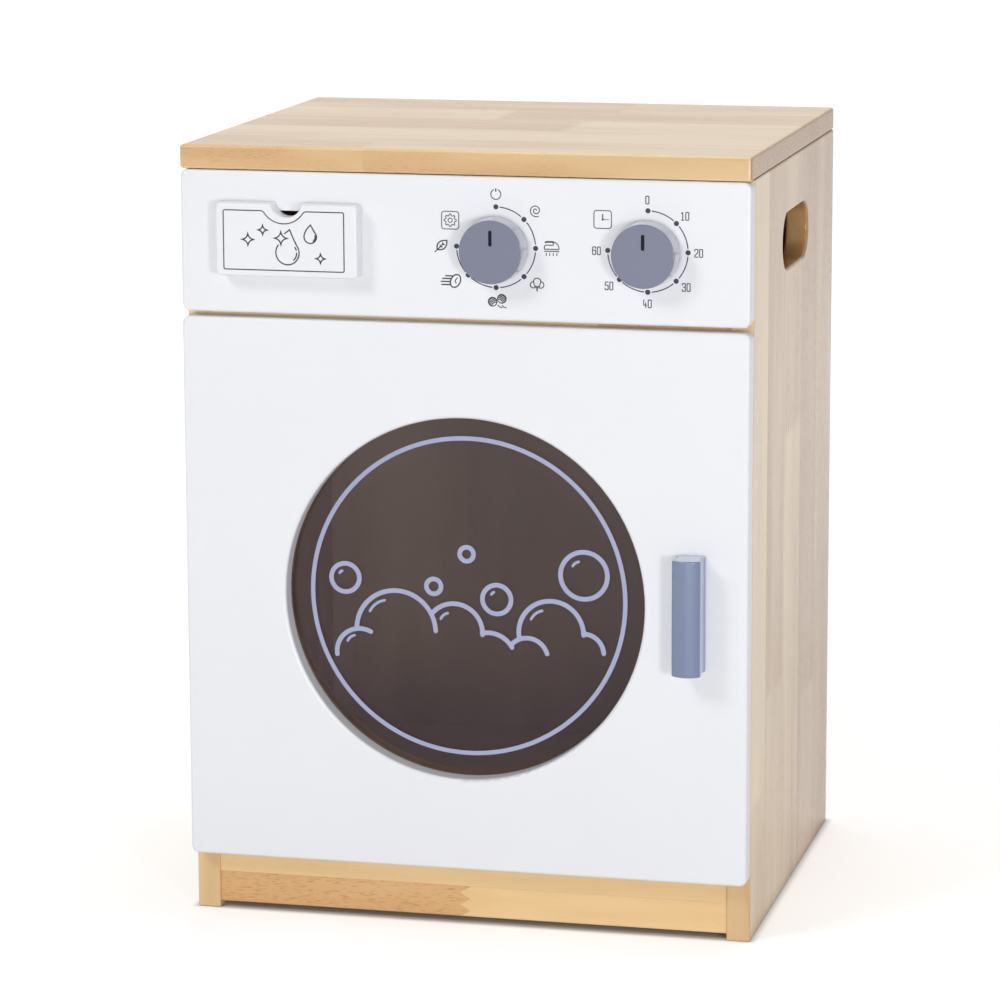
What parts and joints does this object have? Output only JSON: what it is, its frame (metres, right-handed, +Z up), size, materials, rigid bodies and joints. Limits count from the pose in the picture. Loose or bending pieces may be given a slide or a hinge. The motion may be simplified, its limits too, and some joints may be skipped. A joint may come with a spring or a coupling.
{
  "type": "toy washing machine",
  "caption": "Wooden play washing machine with a round smoked window in a left-hung door, a sliding detergent drawer and turning knobs.",
  "frame": {"origin": "on the floor, under the middle of the whole object's width and depth", "axes": "+X to the right as seen from the front, +Y towards the rear, +Z up"},
  "size_m": [0.368, 0.3336, 0.5],
  "materials": {
    "rubberwood": "clear satin lacquer",
    "painted_board": "white satin paint",
    "back_board": "plain plywood",
    "grey_paint": "grey-blue satin paint",
    "mark_ink": "matt",
    "smoked_pane": "clear gloss",
    "zinc_steel": "zinc plated",
    "nickel_magnet": "nickel plated",
    "felt": "pressed felt"
  },
  "bodies": {
    "cabinet": {"worktop": "rubberwood", "side_panel_left": "rubberwood", "side_panel_right": "rubberwood", "floor_board": "rubberwood", "plinth": "rubberwood", "divider_shelf": "rubberwood", "back_panel": "back_board", "back_panel_screws": "zinc_steel", "control_panel": "painted_board", "panel_cleat_left": "rubberwood", "panel_cleat_right": "rubberwood", "cleat_front_screws": "zinc_steel", "cleat_side_screws": "zinc_steel", "worktop_dowels": "rubberwood", "floor_dowels": "rubberwood", "divider_dowels": "rubberwood", "plinth_dowels": "rubberwood", "guide_base": "rubberwood", "guide_rail_left": "rubberwood", "guide_rail_right": "rubberwood", "guide_block": "rubberwood", "guide_base_screws": "zinc_steel", "guide_block_screws": "zinc_steel", "knob_felt_washers": "felt", "hinge_upper_cabinet_leaf": "zinc_steel", "hinge_lower_cabinet_leaf": "zinc_steel", "hinge_pins": "zinc_steel", "hinge_cabinet_screws": "zinc_steel", "catch_magnets": "nickel_magnet"},
    "door": {"door_board": "painted_board", "window_pane": "smoked_pane", "window_ring": "rubberwood", "window_ring_screws": "zinc_steel", "handle": "grey_paint", "handle_screws": "zinc_steel", "hinge_upper_door_leaf": "zinc_steel", "hinge_lower_door_leaf": "zinc_steel", "hinge_door_screws": "zinc_steel", "catch_strikes": "zinc_steel", "catch_strike_screws": "zinc_steel"},
    "drawer": {"drawer_front": "painted_board", "drawer_side_left": "rubberwood", "drawer_side_right": "rubberwood", "drawer_bottom": "back_board", "drawer_back": "rubberwood", "drawer_pins": "rubberwood", "drawer_back_screws": "zinc_steel"},
    "programme_control": {"programme_knob": "grey_paint", "programme_mark": "mark_ink", "programme_spindle": "rubberwood", "programme_disc": "rubberwood", "programme_disc_screw": "zinc_steel"},
    "timer_control": {"timer_knob": "grey_paint", "timer_mark": "mark_ink", "timer_spindle": "rubberwood", "timer_disc": "rubberwood", "timer_disc_screw": "zinc_steel"}
  },
  "joints": [
    {"name": "door_hinge", "type": "hinge", "parent": "cabinet", "child": "door", "pos_m": [-0.1835, -0.1335, 0.2155], "axis": [0, 0, -1], "range_deg": [0, 180]},
    {"name": "drawer_slide", "type": "slide", "parent": "cabinet", "child": "drawer", "axis": [0, -1, 0], "range_m": [0, 0.076]},
    {"name": "programme_turn", "type": "hinge", "parent": "cabinet", "child": "programme_control", "pos_m": [0.022, -0.1452, 0.4395], "axis": [0, 1, 0], "continuous": true},
    {"name": "timer_turn", "type": "hinge", "parent": "cabinet", "child": "timer_control", "pos_m": [0.118, -0.1452, 0.4395], "axis": [0, 1, 0], "continuous": true}
  ]
}
